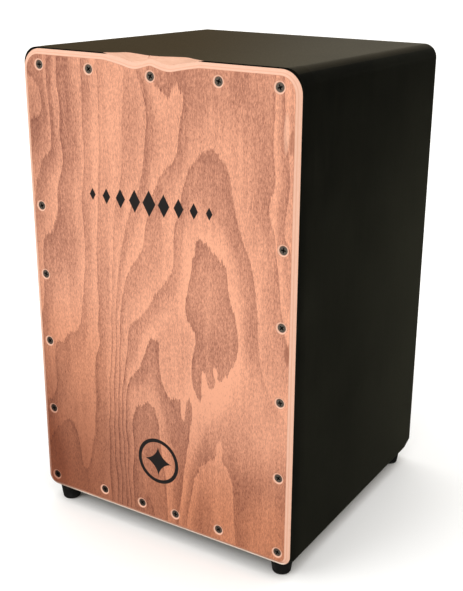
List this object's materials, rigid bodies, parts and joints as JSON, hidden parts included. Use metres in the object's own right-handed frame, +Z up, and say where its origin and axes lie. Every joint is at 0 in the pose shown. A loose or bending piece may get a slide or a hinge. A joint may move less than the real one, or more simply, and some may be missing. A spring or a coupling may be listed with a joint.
{
  "type": "cajon",
  "caption": "Box drum with a stained plywood front plate, two hand scoops at the top edge, a black body on rubber feet, a rear sound hole and key-tuned snare strings inside.",
  "frame": {"origin": "centre of the footprint on the floor, under the rubber feet", "axes": "+Z up, longest side; +Y from the front plate back to the sound hole; +X to the viewer's right when facing the front plate"},
  "size_m": [0.3, 0.292, 0.482],
  "materials": {
    "body_paint": "satin black paint on birch plywood",
    "tapa_veneer": "satin stained veneer with bold flat-sawn grain",
    "frame_wood": "bare softwood battens",
    "panel_screw": "black oxide",
    "rubber": "matte black",
    "zinc_screw": "bright zinc",
    "saddle_steel": "brushed",
    "string_steel": "wound steel",
    "bracket_steel": "zinc plated",
    "tuner_steel": "dark oxide steel",
    "carriage_alloy": "milled",
    "brass": "turned"
  },
  "bodies": {
    "drum": {"back_panel": "body_paint", "back_panel_screws": "panel_screw", "bottom_panel": "body_paint", "corner_batten_bottom_left": "frame_wood", "corner_batten_bottom_right": "frame_wood", "corner_batten_top_left": "frame_wood", "corner_batten_top_right": "frame_wood", "foot_front_left": "rubber", "foot_front_right": "rubber", "foot_rear_left": "rubber", "foot_rear_right": "rubber", "foot_screws": "zinc_screw", "foot_washers": "zinc_screw", "front_batten_bottom": "frame_wood", "front_batten_left": "frame_wood", "front_batten_right": "frame_wood", "front_batten_top": "frame_wood", "left_side_panel": "body_paint", "rear_batten_bottom": "frame_wood", "rear_batten_left": "frame_wood", "rear_batten_right": "frame_wood", "rear_batten_top": "frame_wood", "right_side_panel": "body_paint", "snare_string_1": "string_steel", "snare_string_2": "string_steel", "snare_string_3": "string_steel", "snare_string_4": "string_steel", "string_anchor_screws": "zinc_screw", "string_saddle": "saddle_steel", "tapa": "tapa_veneer", "tapa_screws": "panel_screw", "top_panel": "body_paint", "tuner_bracket_left": "bracket_steel", "tuner_bracket_right": "bracket_steel", "tuner_bracket_screws": "zinc_screw", "tuner_bush_left": "brass", "tuner_bush_right": "brass"},
    "tuner_screw_left": {"tuner_screw_left": "tuner_steel"},
    "tuner_carriage_left": {"tuner_carriage_left": "carriage_alloy", "string_ball_ends_left": "brass"},
    "tuner_screw_right": {"tuner_screw_right": "tuner_steel"},
    "tuner_carriage_right": {"tuner_carriage_right": "carriage_alloy", "string_ball_ends_right": "brass"}
  },
  "joints": [
    {"name": "tuner_turn_left", "type": "hinge", "parent": "drum", "child": "tuner_screw_left", "pos_m": [-0.042, -0.1125, 0.0214], "axis": [0, 0, 1], "range_deg": [-1440, 1440]},
    {"name": "string_pull_left", "type": "slide", "parent": "drum", "child": "tuner_carriage_left", "axis": [0, 0, -1], "range_m": [-0.004, 0.004], "deforming": ["snare_string_1", "snare_string_2"]},
    {"name": "tuner_turn_right", "type": "hinge", "parent": "drum", "child": "tuner_screw_right", "pos_m": [0.042, -0.1125, 0.0214], "axis": [0, 0, 1], "range_deg": [-1440, 1440]},
    {"name": "string_pull_right", "type": "slide", "parent": "drum", "child": "tuner_carriage_right", "axis": [0, 0, -1], "range_m": [-0.004, 0.004], "deforming": ["snare_string_3", "snare_string_4"]}
  ],
  "couplings": [
    {"joint": "tuner_turn_left", "follows": "string_pull_left", "rad_per_m": 6283.2},
    {"joint": "tuner_turn_right", "follows": "string_pull_right", "rad_per_m": 6283.2}
  ]
}
